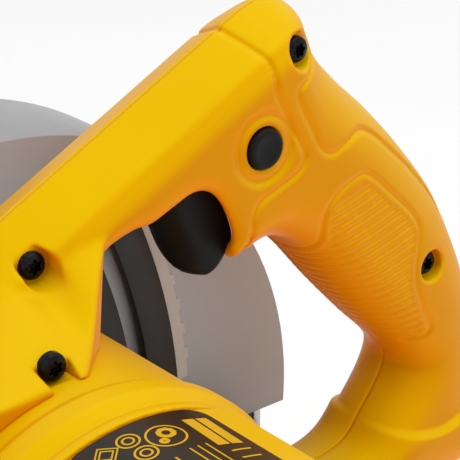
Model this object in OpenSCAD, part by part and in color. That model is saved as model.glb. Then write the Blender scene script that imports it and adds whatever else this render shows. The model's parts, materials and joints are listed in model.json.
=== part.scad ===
// Corded circular saw, motor on the left of the blade.
// X points forward along the cut, Y to the motor end, Z up from the underside of the base.

/* [Base] */
// Front edge of the base, ahead of the arbor
base_front = 165; // [150:1:180]
// Rear edge of the base, behind the arbor
base_rear = 108; // [106:1:112]
// Reach of the base to the motor side
base_left = 50; // [45:1:60]
// Reach of the base to the blade side
base_right = 95; // [92:1:105]
// Thickness of the base sheet
base_t = 2.5; // [2:0.1:3]

/* [Blade] */
// Outer diameter of the saw blade
blade_d = 190; // [184:1:190]
// Thickness of the blade body
blade_t = 1.8; // [1.2:0.1:2.2]
// Number of carbide teeth
blade_teeth = 24; // [18:1:40]
// Diameter of the blade bore
bore_d = 20; // [16:1:20]
// Distance of the blade plane from the handle's middle plane
blade_off = 57; // [56:0.5:58]

/* [Drive] */
// Height of the arbor above the underside of the base
arbor_z = 30; // [29:0.5:31]
// Teeth on the drive gear
gear_teeth = 54; // [54:1:54]
// Teeth on the motor pinion
pinion_teeth = 18; // [18:1:18]
// Forward offset of the motor axis from the arbor
motor_x = 27; // [26:0.5:28]

/* [Motor] */
// Outer radius of the motor housing
motor_r = 50; // [49:0.5:50]
// Motor end of the cylindrical housing
motor_y = 62; // [60:1:64]
// Outer end of the end cap
cap_y = 110; // [106:1:114]

/* [Guards] */
// Outer radius of the upper guard
guard_r = 102; // [101:0.5:103]
// Outer radius of the lower guard
lower_r = 98; // [97.5:0.1:98.2]

/* [Handle] */
// Half thickness of the handle
handle_half = 17; // [16:0.5:18]
// Wall thickness of the handle shells
shell_t = 3; // [2.5:0.1:3.2]
// Diameter of the screw pockets
pocket_d = 9.4; // [9:0.1:10]
// Diameter of the lock-off button
button_d = 10; // [9:0.1:10]

/* [Hidden] */
$fn = 64;
run = 0.04;
blade_r = blade_d / 2;
blade_y = -blade_off;
gear_c = (gear_teeth + pinion_teeth) / 2;
motor_z = arbor_z + sqrt(gear_c * gear_c - motor_x * motor_x);
mesh_a = atan2(motor_z - arbor_z, motor_x);
bevel_y = blade_y;
bevel_z = 9;
quad_x = 150;
depth_x = 118;
depth_z = 34;
strap_in = 148;
strap_out = 175;
slot_mid = 162.1;
strap_y0 = -33.5;
strap_y1 = -30.5;
clamp_a = 1;
clamp_x = depth_x - slot_mid * cos(clamp_a);
clamp_z = depth_z + slot_mid * sin(clamp_a);
guard_y0 = -75;
guard_y1 = -35;
guard_t = 2;
guard_low = 22.5;
button_x = -49;
button_z = 134;
trigger_x = -33;
trigger_z = 130;
screw_at = [[17.6, 118.8, 9.6], [-62.8, 156.2, 11], [-112.4, 83.6, 12]];
foot_screw = [29.8, 106.6];
foot_screw_y = 35.3;
lock_a = 150;
case_screw_at = [100, 60, 20, -10];
inlet_x = -150;
inlet_z = 17;
YELLOW = [0.93, 0.66, 0.02];
DARK = [0.09, 0.09, 0.10];
SILVER = [0.72, 0.72, 0.72];
STEEL = [0.62, 0.62, 0.64];
COPPER = [0.72, 0.40, 0.20];

// ---- helpers -------------------------------------------------------------------------

// Extrudes an XZ outline from y0 to y1.
module along_y(y0, y1) {
    translate([0, y1, 0])
        rotate([90, 0, 0])
            linear_extrude(y1 - y0)
                children();
}

// Extrudes a YZ outline from x0 to x1.
module along_x(x0, x1) {
    translate([x0, 0, 0])
        rotate([90, 0, 90])
            linear_extrude(x1 - x0)
                children();
}

// A round bar along Y at (x, z).
module bar_y(r, y0, y1, x = 0, z = arbor_z) {
    translate([x, y1, z])
        rotate([90, 0, 0])
            cylinder(r = r, h = y1 - y0);
}

// A ring along Y.
module ring_y(r_out, r_in, y0, y1, x = 0, z = arbor_z) {
    difference() {
        bar_y(r_out, y0, y1, x, z);
        bar_y(r_in, y0 - 1, y1 + 1, x, z);
    }
}

// A round bar along X at (y, z).
module bar_x(r, x0, x1, y, z) {
    translate([x0, y, z])
        rotate([0, 90, 0])
            cylinder(r = r, h = x1 - x0);
}

// Points on an arc about (cx, cz).
function arc(cx, cz, r, a0, a1, n = 12) =
    [for (i = [0:n]) let (a = a0 + (a1 - a0) * i / n) [cx + r * cos(a), cz + r * sin(a)]];

// A band between two radii, from angle a0 to a1.
module band(cx, cz, r_in, r_out, a0, a1, n = 24) {
    polygon(concat(arc(cx, cz, r_out, a0, a1, n), arc(cx, cz, r_in, a1, a0, n)));
}

// An arc slot with round ends.
module arc_slot(cx, cz, r_mid, w, a0, a1) {
    band(cx, cz, r_mid - w / 2, r_mid + w / 2, a0, a1);
    for (a = [a0, a1])
        translate([cx + r_mid * cos(a), cz + r_mid * sin(a)])
            circle(r = w / 2);
}

// A straight-sided gear of module 1 with a little backlash.
module gear_outline(teeth, phase) {
    pitch_r = teeth / 2;
    tip = 0.9;
    root = 1.2;
    step = 360 / teeth;
    half = step * 0.19;
    polygon([for (i = [0:teeth - 1]) let (a = phase + i * step)
        for (p = [[-2.1, pitch_r - root], [-0.45, pitch_r + tip],
                  [0.45, pitch_r + tip], [2.1, pitch_r - root]])
            let (b = a + p[0] * half) [p[1] * cos(b), p[1] * sin(b)]]);
}

// ---- base ----------------------------------------------------------------------------

module base_plate() {
    slot_front = 99;
    slot_rear = -99;
    color(STEEL)
        difference() {
            union() {
                translate([-base_rear, -base_right, 0])
                    cube([base_rear + base_front, base_left + base_right, base_t]);
                translate([base_front - 2, -base_right, 0])
                    cube([2, base_left + base_right, 6]);
                translate([-base_rear, -base_right, 0])
                    cube([base_rear + base_front, 2, 6]);
            }
            translate([slot_rear, -77, -1])
                cube([slot_front - slot_rear, 50, 9]);
            translate([-18, -30, -1])
                cube([36, 22.5, 9]);
            translate([base_front - 14, bevel_y - 2, -1])
                cube([20, 4, 9]);
            translate([base_front - 14, -20, -1])
                cube([20, 4, 9]);
        }
}

module bevel_quadrant() {
    color(STEEL)
        along_x(quad_x, quad_x + 3)
            difference() {
                union() {
                    band(bevel_y, bevel_z, 0.01, 48, 20, 110);
                    polygon([[bevel_y - 16, base_t], [bevel_y + 46, base_t],
                        [bevel_y + 46, 24], [bevel_y - 16, 52]]);
                }
                translate([bevel_y, bevel_z])
                    circle(r = 4);
                arc_slot(bevel_y, bevel_z, 40, 6.6, 40, 90);
            }
}

module bevel_pivot_pin() {
    color(STEEL)
        union() {
            bar_x(4, 136, quad_x + 3, bevel_y, bevel_z);
            bar_x(6.4, quad_x + 3, quad_x + 6, bevel_y, bevel_z);
        }
}

module rear_ear() {
    color(STEEL)
        difference() {
            translate([-base_rear + 2, bevel_y - 6, base_t])
                cube([3, 12, 12]);
            bar_x(3, -base_rear, -base_rear + 8, bevel_y, bevel_z);
        }
}

module rear_pivot_pin() {
    color(STEEL)
        bar_x(3, -base_rear + 2, -base_rear + 10, bevel_y, bevel_z);
}

module fence_bracket() {
    color(STEEL)
        difference() {
            translate([118, 14, base_t])
                cube([20, 28, 15]);
            translate([121, 13, base_t])
                cube([14, 30, 7]);
            translate([128, 28, base_t + 5])
                cylinder(r = 3, h = 12);
        }
}

module fence_screw() {
    top = base_t + 15;
    color(DARK)
        union() {
            translate([128, 28, top - 7.5])
                cylinder(r = 3 - run, h = 9);
            translate([128, 28, top + 0.4])
                cylinder(r = 6, h = 3);
            translate([128, 28, top + 10])
                cube([18, 4, 14], center = true);
        }
}

// ---- tilting carriage ----------------------------------------------------------------

module tilt_bracket() {
    color(STEEL)
        difference() {
            union() {
                along_x(140, quad_x - 0.5)
                    polygon([[bevel_y - 14, 17], [bevel_y - 5, 5.5], [bevel_y, 3.5],
                        [bevel_y + 14, 4], [bevel_y + 40, 22],
                        [bevel_y + 40, 46], [bevel_y - 14, 46]]);
                for (y = [-72, -38])
                    along_y(y, y + 6)
                        union() {
                            translate([depth_x, depth_z])
                                circle(r = 9);
                            polygon([[depth_x, 25], [141, 18], [141, 46], [depth_x, 43]]);
                        }
            }
            bar_x(4 + run, 139, 151, bevel_y, bevel_z);
            bar_y(4, -80, -20, depth_x, depth_z);
            along_x(130, 152)
                translate([bevel_y + 40 * cos(41), bevel_z + 40 * sin(41)])
                    circle(r = 3);
        }
}

module depth_pivot_pin() {
    color(STEEL)
        union() {
            bar_y(4, -74, -30, depth_x, depth_z);
            bar_y(6, -76, -74, depth_x, depth_z);
        }
}

module bevel_bolt() {
    y = bevel_y + 40 * cos(41);
    z = bevel_z + 40 * sin(41);
    color(STEEL)
        union() {
            bar_x(3, 140, 164, y, z);
            bar_x(5, 137, 140, y, z);
        }
}

module bevel_lever() {
    y = bevel_y + 40 * cos(41);
    z = bevel_z + 40 * sin(41);
    color(DARK)
        along_x(quad_x + 3.5, 162)
            difference() {
                union() {
                    translate([y, z])
                        circle(r = 8);
                    polygon([[y, z - 6], [y + 34, z - 2], [y + 34, z + 5], [y, z + 7]]);
                    translate([y + 34, z + 1.5])
                        circle(r = 3.5);
                }
                translate([y, z])
                    circle(r = 3 + run);
            }
}

module depth_strap() {
    color(DARK)
        union() {
            along_y(strap_y0, strap_y1)
                difference() {
                    union() {
                        band(depth_x, depth_z, strap_in, strap_out, 150, 189);
                        polygon([[-102.5, 3.8], [-34, 3.8], [-34, 24], [-56, 24],
                            [-70, 12], [-86, 6.8], [-102.5, 6.8]]);
                    }
                    arc_slot(depth_x, depth_z, slot_mid, 5.6, 152.2, 180 - clamp_a + 0.6);
                }
            difference() {
                union() {
                    bar_x(6.2, -102.5, -98.5, bevel_y, bevel_z);
                    translate([-102.5, bevel_y, 3.8])
                        cube([4, strap_y1 - bevel_y, 3]);
                }
                bar_x(3 + run, -104, -97, bevel_y, bevel_z);
            }
        }
}

module depth_scale() {
    tick_step = 2.7;
    color([0.82, 0.80, 0.76])
        along_y(strap_y0, strap_y1 - 0.8)
            union() {
                band(depth_x, depth_z, strap_out, strap_out + 4, 151, 176);
                for (a = [151.4:tick_step:175])
                    band(depth_x, depth_z, strap_out + 3, strap_out + 5, a, a + 1.1, 2);
            }
}

// ---- handle --------------------------------------------------------------------------

// Side outline of the handle, in XZ: one C from the lower limb round the grip to the bow.
function handle_points() = concat(
    [[-5, 8], [-104, 8], [-117, 5]],
    arc(-131, 17, 12, -90, -170, 6),
    [[-143.2, 30], [-142.4, 48], [-140.4, 66], [-137.5, 81], [-134, 90], [-122.6, 106.8],
     [-110, 120], [-98, 131], [-87, 142.4], [-80, 152]],
    arc(-65, 156, 12, 10 + 170, 62, 6),
    [[62, 105.5]],
    [[76, 104], [86, 112], [94, 126], [104, 136], [116, 139], [127, 133], [131, 120],
     [126, 104], [114, 92], [98, 84], [84, 76], [72, 66], [44, 70], [-4, 84], [-3, 115],
     [-12, 120], [-24, 122.5], [-38, 126], [-46, 118], [-49, 101], [-57, 101.5],
     [-70, 90], [-84, 76]],
    arc(-88, 60, 10, 140, 214, 6),
    [[-90, 49], [-80, 41], [-66, 37], [-5, 37]]);

module handle_outline(inset = 0) {
    offset(delta = -inset)
        polygon(handle_points());
}

// Foot of the front post, flaring out onto the motor housing.
module post_foot(side) {
    reach = side > 0 ? 42 : 24;
    hull() {
        along_y(min(0, side * 15), max(0, side * 15))
            polygon([[-1, 118], [34, 118], [40, 112], [44, 92], [-3, 92]]);
        along_y(min(side * 15, side * reach), max(side * 15, side * reach))
            polygon([[22, 103.2], [30, 109], [40, 106], [46, 94], [30, 94]]);
    }
}

module handle_half_solid(side) {
    union() {
        along_y(side > 0 ? 0 : -11, side > 0 ? 11 : 0)
            handle_outline();
        along_y(side > 0 ? 0 : -handle_half, side > 0 ? handle_half : 0)
            handle_outline(5);
    }
}

module handle_cavity(side) {
    depth = handle_half - shell_t;
    difference() {
        union() {
            along_y(side > 0 ? -1 : -depth, side > 0 ? depth : 1)
                handle_outline(5 + shell_t);
            along_y(side > 0 ? -1 : -8, side > 0 ? 8 : 1)
                handle_outline(shell_t);
        }
        for (p = screw_at)
            bar_y(6.5, -handle_half, handle_half, p[0], p[1]);
        bar_y(8.5, side > 0 ? 9 : -handle_half, side > 0 ? handle_half : -9, button_x, button_z);
    }
}

// Room for the trigger to swing in.
module trigger_well() {
    along_y(-8.8, 8.8)
        polygon([[-22, 112], [-19, 124], [-24, 134], [-40, 136], [-54, 126], [-61, 108],
            [-50, 97], [-40, 97]]);
}

// Space taken by the drive end and the motor.
module drive_room() {
    bar_y(motor_r + 0.1, 2.1, 70, motor_x, motor_z);
    bar_y(37.1, -40, 2.1, 0, arbor_z);
    bar_y(motor_r + 0.1, -40, 2.1, motor_x, motor_z);
    along_y(-40, 2.1)
        polygon([[-5, 3], [40, 0], [60, 20], [0, 60]]);
}

module screw_holes(side) {
    for (p = screw_at) {
        bar_y(2, -14, 13, p[0], p[1]);
        if (side > 0)
            bar_y(pocket_d / 2, p[2], 20, p[0], p[1]);
    }
}

module left_handle_shell() {
    color(YELLOW)
        difference() {
            union() {
                handle_half_solid(1);
                post_foot(1);
            }
            handle_cavity(1);
            trigger_well();
            drive_room();
            screw_holes(1);
            bar_y(button_d / 2 + 0.6, -1, 20, button_x, button_z);
            bar_y(3, -1, 12, trigger_x, trigger_z);
            bar_y(2, 20, foot_screw_y + 1, foot_screw[0], foot_screw[1]);
            bar_y(pocket_d / 2, foot_screw_y, 44, foot_screw[0], foot_screw[1]);
            rear_cable_hole();
        }
}

module right_handle_shell() {
    color(YELLOW)
        difference() {
            union() {
                handle_half_solid(-1);
                post_foot(-1);
            }
            handle_cavity(-1);
            trigger_well();
            drive_room();
            screw_holes(-1);
            bar_y(button_d / 2 + 0.6, -20, 1, button_x, button_z);
            bar_y(3, -12, 1, trigger_x, trigger_z);
            rear_cable_hole();
        }
}

module rear_cable_hole() {
    bar_x(6, inlet_x + 2, inlet_x + 30, 0, inlet_z);
}

module cable_sleeve() {
    color(DARK)
        difference() {
            bar_x(6, inlet_x, inlet_x + 18, 0, inlet_z);
            bar_x(3.6, inlet_x - 1, inlet_x + 19, 0, inlet_z);
        }
}

// Pan-head screw along Y, head towards +Y.
module pan_screw(x, z, seat, shank) {
    difference() {
        union() {
            bar_y(1.75, seat - shank, seat, x, z);
            bar_y(3.5, seat, seat + 2.4, x, z);
        }
        along_y(seat + 1, seat + 3)
            translate([x, z])
                circle(r = 1.6, $fn = 6);
    }
}

module handle_screws() {
    color(DARK)
        union() {
            for (p = screw_at)
                pan_screw(p[0], p[1], p[2], 22);
            pan_screw(foot_screw[0], foot_screw[1], foot_screw_y, 12);
        }
}

module switch_body() {
    color(DARK)
        difference() {
            union() {
                along_y(-7.8, 7.8)
                    polygon([[-17, 125.5], [-12, 124], [3, 120.5], [3, 131], [-17, 141]]);
                along_y(-3, 3)
                    polygon([[-19.5, 133], [-17, 130], [-17, 136]]);
            }
            bar_y(1.6, -10, 10, -4, 128);
        }
}

module trigger_pin() {
    color(STEEL)
        bar_y(3, -12, 12, trigger_x, trigger_z);
}

module trigger() {
    heel = [[-36, 100.5], [-41, 103.5], [-45.5, 108], [-44, 115], [-42, 123], [-40, 130]];
    color(DARK)
        difference() {
            union() {
                along_y(-8, 8)
                    polygon(concat([[-37, 134], [-29, 134], [-28.5, 127], [-25.5, 121],
                        [-27.5, 116], [-30.5, 110], [-33.5, 104.5]], heel));
                along_y(-5, 5)
                    polygon(concat([[-37, 134], [-29, 134], [-25.5, 127], [-22.5, 121],
                        [-24.5, 115], [-27, 109], [-30, 104], [-33, 101]], heel));
            }
            bar_y(3 + run, -9, 9, trigger_x, trigger_z);
        }
}

module lock_off_button() {
    color(DARK)
        union() {
            bar_y(button_d / 2, -17.4, 17.4, button_x, button_z);
            bar_y(button_d / 2 - 1, 17.4, 18.2, button_x, button_z);
        }
}

// ---- motor housing -------------------------------------------------------------------

// Keeps everything clear of the base when the saw is at full depth.
module above_base(y0, y1) {
    translate([-100, y0 - 1, 5])
        cube([300, y1 - y0 + 2, 200]);
}

module motor_housing() {
    ridge_r = motor_r + 1.4;
    color(YELLOW)
        difference() {
            intersection() {
                union() {
                    bar_y(motor_r, 2.1, motor_y, motor_x, motor_z);
                    bar_y(ridge_r, 49, 56, motor_x, motor_z);
                }
                above_base(0, motor_y);
            }
            intersection() {
                bar_y(motor_r - 2.5, 4.1, motor_y + 1, motor_x, motor_z);
                translate([-100, 0, 7.5])
                    cube([300, 100, 200]);
            }
            bar_y(36, 0, 6, motor_x, motor_z);
            bar_y(3.8, foot_screw_y - 0.1, foot_screw_y + 6, foot_screw[0], foot_screw[1]);
        }
}

module end_cap() {
    r0 = motor_r - 0.6;
    color(YELLOW)
        difference() {
            intersection() {
                translate([motor_x, cap_y, motor_z])
                    rotate([90, 0, 0])
                        rotate_extrude()
                            polygon([[0, 0], [34, 0], [42, 2], [47, 6], [r0, 12],
                                [r0, cap_y - motor_y], [r0 - 3, cap_y - motor_y],
                                [r0 - 3, 13], [44.5, 8], [40.5, 5], [33, 3.5], [0, 3.5]]);
                above_base(motor_y, cap_y);
            }
            for (a = [0:30:330])
                translate([motor_x, cap_y + 1, motor_z])
                    rotate([90, a, 0])
                        translate([16, -1.6, 0])
                            cube([14, 3.2, 6]);
            for (s = [-1, 1])
                bar_x(6.5, motor_x + s * 42 - 8, motor_x + s * 42 + 8, 84, motor_z);
            for (a = [45, 135, 225, 315])
                translate([motor_x + 37 * cos(a), 0, motor_z + 37 * sin(a)])
                    union() {
                        bar_y(2.2, cap_y - 8, cap_y + 1, 0, 0);
                        bar_y(3.7, cap_y - 1.6, cap_y + 1, 0, 0);
                    }
        }
    color(YELLOW)
        ring_y(14, 11, cap_y - 14, cap_y - 3.5, motor_x, motor_z);
}

module end_cap_screws() {
    color(DARK)
        for (a = [45, 135, 225, 315])
            pan_screw(motor_x + 37 * cos(a), motor_z + 37 * sin(a), cap_y - 1.6, 10);
}

module rating_label() {
    r0 = motor_r - 0.6;
    color(DARK)
        intersection() {
            ring_y(r0 + 0.4, r0, 64, 96, motor_x, motor_z);
            along_y(63, 97)
                polygon([[motor_x, motor_z], [motor_x + 35, motor_z + 70],
                    [motor_x - 45, motor_z + 62]]);
        }
}

module gear_housing() {
    color([0.66, 0.66, 0.67])
        difference() {
            union() {
                bar_y(36.5, -28, 2, 0, arbor_z);
                bar_y(motor_r, -28, 2, motor_x, motor_z);
                along_y(-28, 2)
                    polygon([[0, 6], [40, 6], [62, 24], [0, 60]]);
                bar_y(26, -37, -28, 0, arbor_z);
                bar_y(20, -44, -37, 0, arbor_z);
                lock_boss(8, 34, 41);
            }
            difference() {
                translate([-80, -60, -60])
                    cube([200, 80, 66]);
                bar_y(31, -26.5, -9.5, 0, arbor_z);
            }
            translate([-80, -60, -60])
                cube([200, 80, 60.5]);
            intersection() {
                bar_y(32.5, -25, -1, 0, arbor_z);
                translate([-40, -30, 8])
                    cube([80, 40, 80]);
            }
            intersection() {
                bar_y(29, -25, -11, 0, arbor_z);
                translate([-40, -30, 1.7])
                    cube([80, 40, 80]);
            }
            difference() {
                bar_y(motor_r - 3, -25, -1, motor_x, motor_z);
                translate([-80, -60, -51])
                    cube([200, 80, 60]);
            }
            bar_y(16, -36, -24, 0, arbor_z);
            bar_y(11, -10, -3, 0, arbor_z);
            bar_y(9, -50, 4, 0, arbor_z);
            bar_y(13, -3, 3, motor_x, motor_z);
            bar_y(9, -5, 4, motor_x, motor_z);
            lock_boss(4 + run, 30, 45);
            for (a = case_screw_at)
                translate([motor_x + 45 * cos(a), 0, motor_z + 45 * sin(a)])
                    bar_y(2, -29, -24, 0, 0);
        }
    color([0.66, 0.66, 0.67])
        union() {
            ring_y(14, 11, -10, -1, 0, arbor_z);
            ring_y(16, 13, -5, -1, motor_x, motor_z);
        }
}

// Radial cylinder about the arbor, used by the spindle lock.
module lock_boss(r, r0, r1) {
    translate([0, -18, arbor_z])
        rotate([0, 90 - lock_a, 0])
            translate([0, 0, r0])
                cylinder(r = r, h = r1 - r0);
}

module gear_housing_screws() {
    color(DARK)
        for (a = case_screw_at)
            translate([motor_x + 45 * cos(a), 0, motor_z + 45 * sin(a)])
                union() {
                    bar_y(2, -28, -24, 0, 0);
                    bar_y(3.5, -30.2, -28, 0, 0);
                }
}

module spindle_lock() {
    color(DARK)
        union() {
            lock_boss(4, 35.8, 46);
            lock_boss(6.5, 46, 50);
        }
}

// ---- guards --------------------------------------------------------------------------

module upper_guard() {
    color(SILVER)
        difference() {
            union() {
                bar_y(guard_r, guard_y0, guard_y1);
                along_y(-63, -41)
                    union() {
                        translate([depth_x, depth_z])
                            circle(r = 9);
                        polygon([[90, 26], [depth_x, 25], [depth_x, 43], [90, 58]]);
                    }
            }
            bar_y(guard_r - guard_t, guard_y0 + guard_t, guard_y1 - guard_t);
            translate([-120, guard_y0 - 1, -100])
                cube([233 - 3, 60, 100 + guard_low]);
            bar_y(26, -40, -30);
            bar_y(17, guard_y0 - 1, guard_y0 + 4, 27, 78);
            along_y(guard_y0 - 1, guard_y0 + guard_t + 1)
                arc_slot(0, arbor_z, 80, 10, 54, 168);
            bar_y(4 + run, -80, -20, depth_x, depth_z);
            bar_y(2.5, -40, -30, clamp_x, clamp_z);
        }
}

module dust_port() {
    color(DARK)
        union() {
            ring_y(19, 16.5, guard_y0 - 18, guard_y0, 27, 78);
        }
}

module lower_guard() {
    r_in = lower_r - 1.6;
    color(SILVER)
        union() {
            along_y(-68, -46)
                band(0, arbor_z, r_in, lower_r, 166, 364, 48);
            along_y(-47.6, -46)
                union() {
                    band(0, arbor_z, 27.5, r_in, 166, 364, 48);
                }
            along_y(-68, -66.4)
                band(0, arbor_z, 48, r_in, 166, 364, 48);
        }
}

module lower_guard_hub() {
    color(SILVER)
        difference() {
            union() {
                bar_y(24, -48, -41.5);
                bar_y(27.5, -47.6, -46);
            }
            bar_y(20 + run, -49, -37);
        }
}

module lower_guard_lever() {
    a = 168;
    x = 80 * cos(a);
    z = arbor_z + 80 * sin(a);
    color(DARK)
        union() {
            bar_y(3.5, -84, -68, x, z);
            bar_y(5.5, -94, -84, x, z);
        }
}

module guard_spring() {
    color(STEEL)
        for (y = [-40.2, -38.4])
            translate([0, y, arbor_z])
                rotate([90, 0, 0])
                    rotate_extrude()
                        translate([22.2, 0])
                            circle(r = 0.7, $fn = 16);
}

// ---- depth clamp ---------------------------------------------------------------------

module depth_clamp_bolt() {
    color(STEEL)
        union() {
            bar_y(2.5, -38, -17.5, clamp_x, clamp_z);
            bar_y(5.5, -40.5, -38, clamp_x, clamp_z);
        }
}

module depth_lever() {
    color(DARK)
        along_y(-29.6, -19.6)
            difference() {
                union() {
                    translate([clamp_x, clamp_z])
                        circle(r = 6);
                    polygon([[clamp_x - 2, clamp_z + 5.6], [clamp_x - 30, clamp_z - 3],
                        [clamp_x - 30, clamp_z - 11], [clamp_x + 1, clamp_z - 5.9]]);
                }
                translate([clamp_x, clamp_z])
                    circle(r = 2.5 + run);
            }
}

// ---- motor parts ---------------------------------------------------------------------

module stator_core() {
    color(STEEL)
        intersection() {
            ring_y(motor_r - 2.5, 24.6, 22, 58, motor_x, motor_z);
            translate([-100, 0, 7.5])
                cube([300, 100, 200]);
        }
}

module field_windings() {
    color(COPPER)
        for (y = [[14, 22], [58, 66]])
            ring_y(40, 27, y[0], y[1], motor_x, motor_z);
}

module armature_shaft() {
    color(STEEL)
        union() {
            bar_y(5, -11.5, 106, motor_x, motor_z);
            translate([motor_x, 0, motor_z])
                along_y(-24, -11.5)
                    gear_outline(pinion_teeth, mesh_a + 180 + 180 / pinion_teeth);
        }
}

module armature_core() {
    color(STEEL)
        ring_y(24, 5, 22, 58, motor_x, motor_z);
}

module armature_windings() {
    color(COPPER)
        for (y = [[14, 22], [58, 67]])
            ring_y(20, 5, y[0], y[1], motor_x, motor_z);
}

module commutator() {
    color(COPPER)
        difference() {
            ring_y(13, 5, 72, 92, motor_x, motor_z);
            for (a = [0:15:345])
                translate([motor_x, 93, motor_z])
                    rotate([90, a, 0])
                        translate([12.2, -0.3, 0])
                            cube([2, 0.6, 18]);
        }
}

module fan() {
    color(DARK)
        union() {
            ring_y(40, 5, 6.5, 8.5, motor_x, motor_z);
            for (a = [0:30:330])
                translate([motor_x, 12.5, motor_z])
                    rotate([90, a, 0])
                        translate([22, -0.8, 0])
                            cube([17, 1.6, 4.2]);
        }
}

module front_motor_bearing() {
    color(STEEL)
        ring_y(13, 5 + run, -3, 3, motor_x, motor_z);
}

module rear_motor_bearing() {
    color(STEEL)
        ring_y(11, 5 + run, cap_y - 13, cap_y - 5, motor_x, motor_z);
}

module brush_holders() {
    color([0.75, 0.62, 0.30])
        for (s = [-1, 1])
            difference() {
                translate([motor_x + s * 27, 84, motor_z])
                    cube([24, 13, 11], center = true);
                translate([motor_x + s * 27, 84, motor_z])
                    cube([26, 10, 7], center = true);
            }
}

module carbon_brushes() {
    color([0.2, 0.2, 0.2])
        for (s = [-1, 1])
            translate([motor_x + s * 21.5, 84, motor_z])
                cube([16, 10, 7], center = true);
}

module brush_caps() {
    color(DARK)
        for (s = [-1, 1])
            difference() {
                bar_x(6.5, motor_x + s * 43.5 - 4, motor_x + s * 43.5 + 4, 84, motor_z);
                translate([motor_x + s * 47.5, 84, motor_z])
                    cube([2, 10, 1.6], center = true);
            }
}

// ---- drive ---------------------------------------------------------------------------

module spindle() {
    color(STEEL)
        union() {
            bar_y(7.5, -50, -10);
            bar_y(5, -10, -3.2);
            bar_y(bore_d / 2, -61.9, -50);
        }
}

module spindle_front_bearing() {
    color(STEEL)
        ring_y(16, 7.5 + run, -36, -27);
}

module spindle_rear_bearing() {
    color(STEEL)
        ring_y(11, 5 + run, -9.6, -3);
}

module drive_gear() {
    color(STEEL)
        difference() {
            translate([0, 0, arbor_z])
                along_y(-23, -13)
                    gear_outline(gear_teeth, mesh_a);
            bar_y(7.5, -24, -12);
        }
}

module inner_flange() {
    color(STEEL)
        ring_y(18, 10, blade_y + blade_t / 2, -51);
}

module outer_flange() {
    color(STEEL)
        ring_y(18, 10, -61.9, blade_y - blade_t / 2);
}

module blade_bolt() {
    color(DARK)
        along_y(-66.5, -61.9)
            translate([0, arbor_z])
                circle(r = 7.5, $fn = 6);
}

module blade_outline() {
    step = 360 / blade_teeth;
    root = blade_r - 9;
    polygon([for (i = [0:blade_teeth - 1]) let (a = i * step)
        for (p = [[0, blade_r], [0.22, blade_r - 1.2], [0.30, root + 4], [0.62, root + 4.5],
                  [0.80, root], [0.95, root + 1]])
            [p[1] * cos(a + p[0] * step), p[1] * sin(a + p[0] * step)]]);
}

module blade() {
    color([0.78, 0.78, 0.80])
        difference() {
            translate([0, 0, arbor_z])
                along_y(blade_y - blade_t / 2, blade_y + blade_t / 2)
                    blade_outline();
            bar_y(bore_d / 2, blade_y - 3, blade_y + 3);
        }
}

// ---- selection -----------------------------------------------------------------------

base_plate();
bevel_quadrant();
bevel_pivot_pin();
rear_ear();
rear_pivot_pin();
fence_bracket();
fence_screw();
tilt_bracket();
depth_pivot_pin();
depth_strap();
depth_scale();
bevel_bolt();
bevel_lever();
left_handle_shell();
right_handle_shell();
handle_screws();
motor_housing();
end_cap();
end_cap_screws();
rating_label();
gear_housing();
gear_housing_screws();
upper_guard();
dust_port();
stator_core();
field_windings();
brush_holders();
carbon_brushes();
brush_caps();
front_motor_bearing();
rear_motor_bearing();
spindle_front_bearing();
spindle_rear_bearing();
switch_body();
trigger_pin();
cable_sleeve();
guard_spring();
depth_clamp_bolt();
spindle();
drive_gear();
inner_flange();
outer_flange();
blade();
blade_bolt();
armature_shaft();
armature_core();
armature_windings();
commutator();
fan();
lower_guard();
lower_guard_hub();
lower_guard_lever();
trigger();
lock_off_button();
spindle_lock();
depth_lever();
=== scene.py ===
"""Circular saw: the visual model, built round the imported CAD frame."""
import json
import math

import bmesh
import bpy
import numpy as np
import openvdb
from mathutils import Matrix, Vector


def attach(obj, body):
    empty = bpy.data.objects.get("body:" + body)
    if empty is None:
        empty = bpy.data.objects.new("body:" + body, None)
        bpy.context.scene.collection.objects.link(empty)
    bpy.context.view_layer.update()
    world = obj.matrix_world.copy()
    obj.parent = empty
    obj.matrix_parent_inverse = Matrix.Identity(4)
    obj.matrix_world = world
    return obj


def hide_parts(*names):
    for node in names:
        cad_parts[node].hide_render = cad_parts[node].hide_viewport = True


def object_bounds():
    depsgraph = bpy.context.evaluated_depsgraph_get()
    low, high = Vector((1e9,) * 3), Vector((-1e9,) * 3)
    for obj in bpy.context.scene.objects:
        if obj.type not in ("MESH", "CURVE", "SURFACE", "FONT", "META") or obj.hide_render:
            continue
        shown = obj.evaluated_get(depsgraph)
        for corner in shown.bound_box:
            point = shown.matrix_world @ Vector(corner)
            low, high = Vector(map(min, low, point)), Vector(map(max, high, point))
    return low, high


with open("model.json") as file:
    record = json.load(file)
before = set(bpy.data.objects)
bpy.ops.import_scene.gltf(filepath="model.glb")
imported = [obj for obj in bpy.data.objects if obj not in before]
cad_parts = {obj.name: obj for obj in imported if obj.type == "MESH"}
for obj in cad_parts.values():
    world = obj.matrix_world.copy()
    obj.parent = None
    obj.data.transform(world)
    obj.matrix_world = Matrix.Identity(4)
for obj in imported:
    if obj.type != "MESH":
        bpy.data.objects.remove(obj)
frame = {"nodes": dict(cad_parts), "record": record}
cad_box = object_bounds()
nodes = frame["nodes"]
MM = 0.001

# Main places of the saw, in millimetres, in the frame of the CAD model.
ARBOR_Z, GEAR_CENTRES = 30.0, 36.0
MOTOR_X, MOTOR_R, MOTOR_END, CAP_END = 27.0, 50.0, 62.0, 110.0
MOTOR_Z = ARBOR_Z + math.sqrt(GEAR_CENTRES ** 2 - MOTOR_X ** 2)
HALF = 17.0  # half the handle's thickness
BUTTON, BUTTON_HOLE = (-49.0, 134.0), 5.7  # X and Z, radius
TRIGGER_PIN, TRIGGER_PIN_R = (-33.0, 130.0), 3.05
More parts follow.
